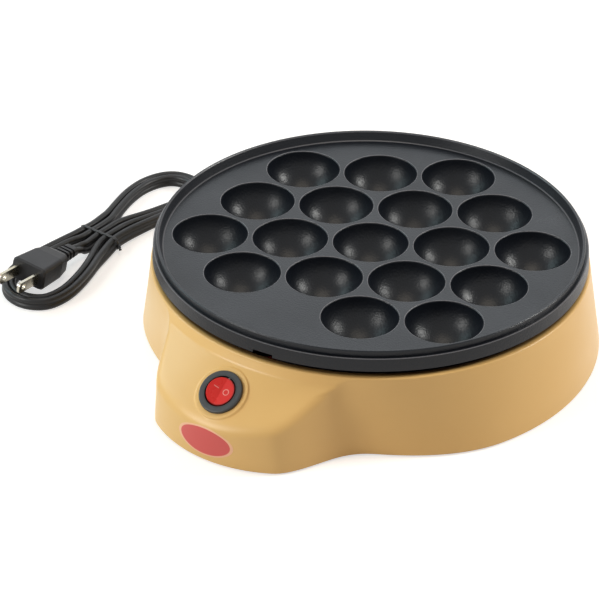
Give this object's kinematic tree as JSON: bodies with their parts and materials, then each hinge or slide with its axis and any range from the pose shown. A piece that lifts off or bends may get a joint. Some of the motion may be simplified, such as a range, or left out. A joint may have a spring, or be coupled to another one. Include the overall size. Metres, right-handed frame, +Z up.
{
  "type": "takoyaki maker",
  "caption": "Electric countertop maker for round batter snacks: cast plate of hemispherical wells in a plastic base with rocker switch and tied cord.",
  "frame": {"origin": "middle of the base's footprint, on the surface it stands on", "axes": "+Z up, -Y towards the user: the switch nose is at the front; +X to the user's right"},
  "size_m": [0.314, 0.3302, 0.0607],
  "materials": {
    "foil_label": "blank foil label",
    "cover_plastic": "moulded polypropylene, matte",
    "screw_steel": "zinc-plated steel",
    "coated_casting": "cast aluminium with dark non-stick coating",
    "plug_pvc": "black moulded PVC",
    "cord_pvc": "black PVC flat cord",
    "wire_black": "insulated wire",
    "label": "printed oval sticker",
    "shield_steel": "pressed steel",
    "fibreglass_sleeve": "fibreglass sleeve",
    "heater_sheath": "steel sheath",
    "yellow_plastic": "moulded polypropylene, satin",
    "lamp_glass": "glass",
    "clear_sleeve": "nylon sleeve",
    "blade_nickel": "nickel-plated brass",
    "foot_rubber": "grey rubber",
    "switch_black": "black nylon",
    "switch_red": "red polycarbonate",
    "terminal_brass": "brass",
    "ceramic": "steatite ceramic",
    "thermostat_body": "moulded phenolic",
    "wire_red": "insulated wire",
    "wire_white": "insulated wire"
  },
  "bodies": {
    "base": {"base_label": "foil_label", "bottom_cover": "cover_plastic", "clamp_screws": "screw_steel", "cooking_plate": "coated_casting", "cord_bushing": "plug_pvc", "cord_clamp": "cover_plastic", "cord_hank": "cord_pvc", "cord_inner": "cord_pvc", "cord_lead": "cord_pvc", "cord_tail": "cord_pvc", "cord_tie": "wire_black", "cover_screws": "screw_steel", "front_label": "label", "fuse_clip": "shield_steel", "fuse_sleeve": "fibreglass_sleeve", "heat_shield": "shield_steel", "heater_pins": "heater_sheath", "heater_straps": "shield_steel", "heating_element": "heater_sheath", "housing": "yellow_plastic", "neon_lamp": "lamp_glass", "pin_sleeves": "clear_sleeve", "plate_screws": "screw_steel", "plate_washers": "screw_steel", "plug_blades": "blade_nickel", "plug_body": "plug_pvc", "push_on_terminals": "clear_sleeve", "rocker_pin": "screw_steel", "rubber_feet": "foot_rubber", "strap_screws": "screw_steel", "switch_body": "switch_black", "switch_terminals": "terminal_brass", "terminal_beads": "ceramic", "thermal_fuse": "screw_steel", "thermostat": "thermostat_body", "thermostat_bracket": "shield_steel", "thermostat_screws": "screw_steel", "wire_bush": "ceramic", "wire_heater": "wire_red", "wire_lamp": "wire_white", "wire_live": "wire_black", "wire_neutral": "wire_white", "wire_switched": "wire_red", "wire_thermostat": "wire_red"},
    "rocker": {"switch_rocker": "switch_red"}
  },
  "joints": [
    {"name": "switch_rocker_tilt", "type": "hinge", "parent": "base", "child": "rocker", "pos_m": [0, -0.11783, 0.03197], "axis": [0, -0.8141, -0.5807], "range_deg": [0, 20]}
  ]
}
